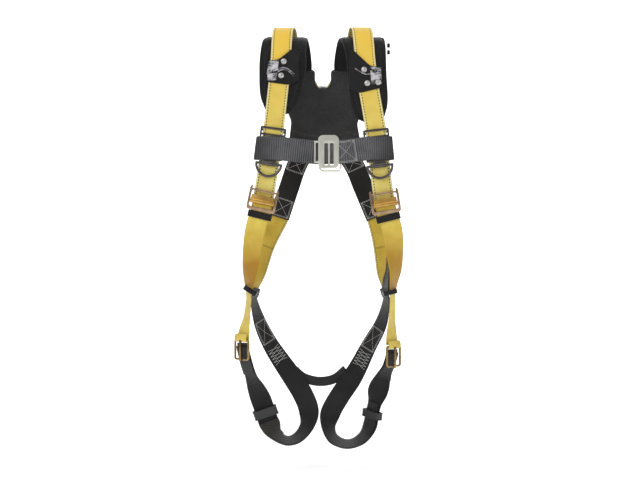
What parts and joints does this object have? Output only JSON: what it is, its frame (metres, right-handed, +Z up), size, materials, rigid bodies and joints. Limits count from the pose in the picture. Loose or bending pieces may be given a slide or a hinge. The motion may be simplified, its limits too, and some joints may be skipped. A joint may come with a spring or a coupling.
{
  "type": "safety harness",
  "caption": "Full-body fall-arrest harness with padded shoulders, a buckled chest strap, chest and dorsal D-rings, torso buckles and adjustable leg loops.",
  "frame": {"origin": "middle of the dorsal D-ring's eye, the point that a lanyard pulls on", "axes": "+X to the wearer's left, -Y to the wearer's front, +Z up"},
  "size_m": [0.374, 0.1482, 0.9356],
  "materials": {
    "yellow_webbing": "woven polyester, semi-matt",
    "black_webbing": "woven polyester, slight sheen",
    "grey_webbing": "ribbed woven polyester",
    "pad_cloth": "padded nylon cloth, matt",
    "pad_mesh": "spacer mesh, charcoal sheen",
    "flap_vinyl": "coated cloth with a glossy clear panel",
    "elastic": "ribbed elastic",
    "black_plastic": "moulded, fine grain",
    "yellow_zinc": "yellow zinc plated steel",
    "pale_steel": "satin plated steel",
    "dark_steel": "dark plated steel, worn edges",
    "dorsal_steel": "forged and plated steel",
    "stud_metal": "nickel plated, domed"
  },
  "bodies": {
    "harness": {"dorsal_plate": "dark_steel", "back_pad": "pad_mesh", "right_shoulder_pad": "pad_cloth", "left_shoulder_pad": "pad_cloth", "left_pad_tabs": "elastic", "right_shoulder_strap": "yellow_webbing", "left_shoulder_strap": "yellow_webbing", "right_back_strap": "black_webbing", "left_back_strap": "black_webbing", "right_hip_strap": "yellow_webbing", "left_hip_strap": "yellow_webbing", "right_torso_strap": "yellow_webbing", "left_torso_strap": "yellow_webbing", "right_torso_buckle_frame": "yellow_zinc", "left_torso_buckle_frame": "yellow_zinc", "right_torso_keeper": "elastic", "left_torso_keeper": "elastic", "right_hip_loop": "black_webbing", "left_hip_loop": "black_webbing"},
    "dorsal_ring": {"dorsal_d_ring": "dorsal_steel"},
    "right_flap": {"right_pad_flap": "flap_vinyl", "right_flap_studs": "stud_metal"},
    "left_flap": {"left_pad_flap": "flap_vinyl", "left_flap_studs": "stud_metal"},
    "chest": {"right_chest_slide": "dark_steel", "left_chest_slide": "dark_steel", "right_chest_strap": "grey_webbing", "left_chest_strap": "grey_webbing", "chest_buckle_ring": "pale_steel", "chest_buckle_plate": "pale_steel"},
    "right_ring": {"right_chest_d_ring": "dark_steel"},
    "left_ring": {"left_chest_d_ring": "dark_steel"},
    "right_adjuster": {"right_torso_buckle_bar": "yellow_zinc"},
    "left_adjuster": {"left_torso_buckle_bar": "yellow_zinc"},
    "legs": {"right_leg_riser": "yellow_webbing", "left_leg_riser": "yellow_webbing", "right_leg_strap": "black_webbing", "left_leg_strap": "black_webbing", "sub_pelvic_strap": "black_webbing", "right_leg_buckle_frame": "yellow_zinc", "left_leg_buckle_frame": "yellow_zinc", "right_leg_elastic": "elastic", "left_leg_tail": "black_webbing"},
    "right_tongue": {"right_leg_buckle_tongue": "yellow_zinc"},
    "left_tongue": {"left_leg_buckle_tongue": "yellow_zinc"},
    "right_keeper": {"right_leg_keeper": "black_plastic"},
    "left_keeper": {"left_leg_keeper": "black_plastic"}
  },
  "joints": [
    {"name": "dorsal_ring_tilt", "type": "hinge", "parent": "harness", "child": "dorsal_ring", "pos_m": [0, 0, -0.029], "axis": [-1, 0, 0], "range_deg": [0, 165]},
    {"name": "right_flap_open", "type": "hinge", "parent": "harness", "child": "right_flap", "pos_m": [-0.053, -0.1237, 0.065], "axis": [0, 0, 1], "range_deg": [0, 110]},
    {"name": "left_flap_open", "type": "hinge", "parent": "harness", "child": "left_flap", "pos_m": [0.058, -0.1237, 0.055], "axis": [0, 0, -1], "range_deg": [0, 110]},
    {"name": "chest_height", "type": "slide", "parent": "harness", "child": "chest", "axis": [0, 0, 1], "range_m": [-0.01, 0.012]},
    {"name": "right_ring_swing", "type": "hinge", "parent": "chest", "child": "right_ring", "pos_m": [-0.11875, -0.1272, -0.1476], "axis": [-0.9912, 0, 0.1323], "range_deg": [0, 90]},
    {"name": "left_ring_swing", "type": "hinge", "parent": "chest", "child": "left_ring", "pos_m": [0.12452, -0.1272, -0.15172], "axis": [-0.9938, 0, -0.1115], "range_deg": [0, 90]},
    {"name": "right_adjuster_slide", "type": "slide", "parent": "harness", "child": "right_adjuster", "axis": [0.2079, 0, 0.9781], "range_m": [0, 0.005]},
    {"name": "left_adjuster_slide", "type": "slide", "parent": "harness", "child": "left_adjuster", "axis": [-0.1564, 0, 0.9877], "range_m": [0, 0.005]},
    {"name": "leg_swing", "type": "hinge", "parent": "harness", "child": "legs", "pos_m": [0, -0.077, -0.443], "axis": [1, 0, 0], "range_deg": [-12, 12]},
    {"name": "right_tongue_tilt", "type": "hinge", "parent": "legs", "child": "right_tongue", "pos_m": [-0.17885, -0.10253, -0.5345], "axis": [-0.6018, 0.7986, 0], "range_deg": [0, 70]},
    {"name": "left_tongue_tilt", "type": "hinge", "parent": "legs", "child": "left_tongue", "pos_m": [0.15535, -0.10253, -0.5495], "axis": [-0.6018, -0.7986, 0], "range_deg": [0, 70]},
    {"name": "right_keeper_slide", "type": "slide", "parent": "legs", "child": "right_keeper", "axis": [-0.324, -0.144, 0.935], "range_m": [-0.006, 0.006]},
    {"name": "left_keeper_slide", "type": "slide", "parent": "legs", "child": "left_keeper", "axis": [0.2161, -0.108, 0.9704], "range_m": [-0.006, 0.006]}
  ]
}
